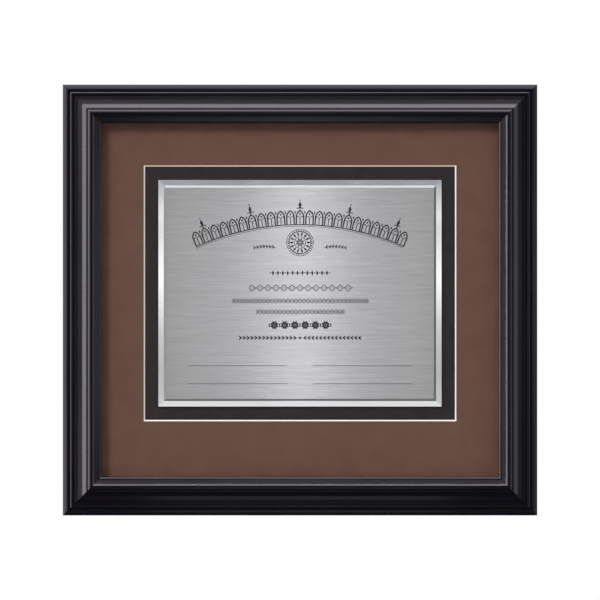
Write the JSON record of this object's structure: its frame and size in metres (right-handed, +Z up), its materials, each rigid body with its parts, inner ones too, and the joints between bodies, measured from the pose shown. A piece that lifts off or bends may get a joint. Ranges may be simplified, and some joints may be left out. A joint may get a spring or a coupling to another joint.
{
  "type": "certificate frame",
  "caption": "Wall-hung certificate frame: mitred black moulding with glazing, a bevelled window mat and a metal plaque, closed by turn buttons over a hardboard back.",
  "frame": {"origin": "on the wall plane, touched by the bumpers' rear faces, behind the middle of the frame", "axes": "+X to the viewer's right, +Z up, +Y back into the wall, so the frame faces -Y"},
  "size_m": [0.4254, 0.0275, 0.3862],
  "materials": {
    "black_lacquered_wood": "satin black lacquer over machined hardwood",
    "nail_steel": "bright cut steel",
    "clear_glass": "clear picture glass",
    "spacer_plastic": "extruded black plastic",
    "brown_suede": "fine brown suede, short nap",
    "cream_core": "cut edge of a pale board",
    "black_board": "smooth matt black board",
    "foam_tape": "white foam tape",
    "polished_plate": "polished bevels",
    "brushed_face": "brushed across, with a dark engraved ornament",
    "grey_board": "grey filler board",
    "hardboard": "brown hardboard, smooth side out",
    "zinc_plated_steel": "bright zinc plate",
    "bright_fasteners": "zinc plate",
    "bumper_rubber": "dark rubber"
  },
  "bodies": {
    "frame": {"rail_top": "black_lacquered_wood", "rail_bottom": "black_lacquered_wood", "rail_left": "black_lacquered_wood", "rail_right": "black_lacquered_wood", "corner_v_nails": "nail_steel", "glazing": "clear_glass", "spacer_top": "spacer_plastic", "spacer_bottom": "spacer_plastic", "spacer_left": "spacer_plastic", "spacer_right": "spacer_plastic", "mat_facing": "brown_suede", "mat_core": "cream_core", "mount_board": "black_board", "plaque_tapes": "foam_tape", "plaque_plate": "polished_plate", "plaque_face": "brushed_face", "filler_board": "grey_board", "backing_board": "hardboard", "sawtooth_hanger_left": "zinc_plated_steel", "sawtooth_hanger_right": "zinc_plated_steel", "turn_button_screws": "bright_fasteners", "hanger_tacks": "bright_fasteners", "wall_bumper_left": "bumper_rubber", "wall_bumper_right": "bumper_rubber"},
    "button_top_right": {"turn_button_top_right": "zinc_plated_steel"},
    "button_top_left": {"turn_button_top_left": "zinc_plated_steel"},
    "button_bottom_left": {"turn_button_bottom_left": "zinc_plated_steel"},
    "button_bottom_right": {"turn_button_bottom_right": "zinc_plated_steel"},
    "button_left_upper": {"turn_button_left_upper": "zinc_plated_steel"},
    "button_left_lower": {"turn_button_left_lower": "zinc_plated_steel"},
    "button_right_lower": {"turn_button_right_lower": "zinc_plated_steel"},
    "button_right_upper": {"turn_button_right_upper": "zinc_plated_steel"}
  },
  "joints": [
    {"name": "turn_top_right", "type": "hinge", "parent": "frame", "child": "button_top_right", "pos_m": [0.09146, -0.0032, 0.1731], "axis": [0, 1, 0], "continuous": true},
    {"name": "turn_top_left", "type": "hinge", "parent": "frame", "child": "button_top_left", "pos_m": [-0.09146, -0.0032, 0.1731], "axis": [0, 1, 0], "continuous": true},
    {"name": "turn_bottom_left", "type": "hinge", "parent": "frame", "child": "button_bottom_left", "pos_m": [-0.09146, -0.0032, -0.1731], "axis": [0, 1, 0], "continuous": true},
    {"name": "turn_bottom_right", "type": "hinge", "parent": "frame", "child": "button_bottom_right", "pos_m": [0.09146, -0.0032, -0.1731], "axis": [0, 1, 0], "continuous": true},
    {"name": "turn_left_upper", "type": "hinge", "parent": "frame", "child": "button_left_upper", "pos_m": [-0.19265, -0.0032, 0.08305], "axis": [0, 1, 0], "continuous": true},
    {"name": "turn_left_lower", "type": "hinge", "parent": "frame", "child": "button_left_lower", "pos_m": [-0.19265, -0.0032, -0.08305], "axis": [0, 1, 0], "continuous": true},
    {"name": "turn_right_lower", "type": "hinge", "parent": "frame", "child": "button_right_lower", "pos_m": [0.19265, -0.0032, -0.08305], "axis": [0, 1, 0], "continuous": true},
    {"name": "turn_right_upper", "type": "hinge", "parent": "frame", "child": "button_right_upper", "pos_m": [0.19265, -0.0032, 0.08305], "axis": [0, 1, 0], "continuous": true}
  ]
}
